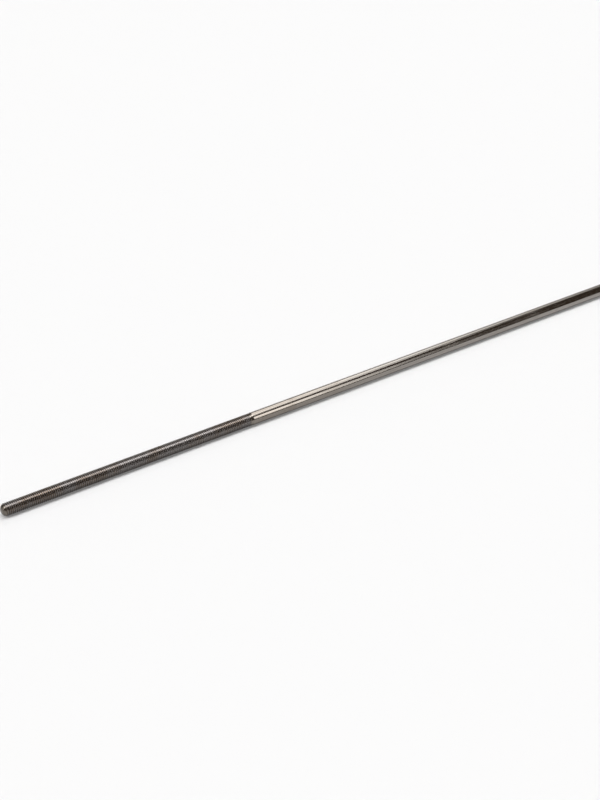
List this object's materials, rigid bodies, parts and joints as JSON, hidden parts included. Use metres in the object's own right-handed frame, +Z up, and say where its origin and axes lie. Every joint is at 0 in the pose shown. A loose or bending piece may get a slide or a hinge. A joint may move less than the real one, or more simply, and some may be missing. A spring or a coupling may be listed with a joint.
{
  "type": "brake rod",
  "caption": "Straight round steel brake rod, threaded along an end for an adjusting nut and plain along the rest.",
  "frame": {"origin": "on the rod's axis, at the flat tip of the threaded end", "axes": "+X along the rod, from the threaded tip to the plain end; +Z up"},
  "size_m": [0.508, 0.0064, 0.0064],
  "materials": {
    "bright_steel": "bright drawn"
  },
  "bodies": {
    "root": {"brake_rod": "bright_steel"}
  },
  "joints": []
}
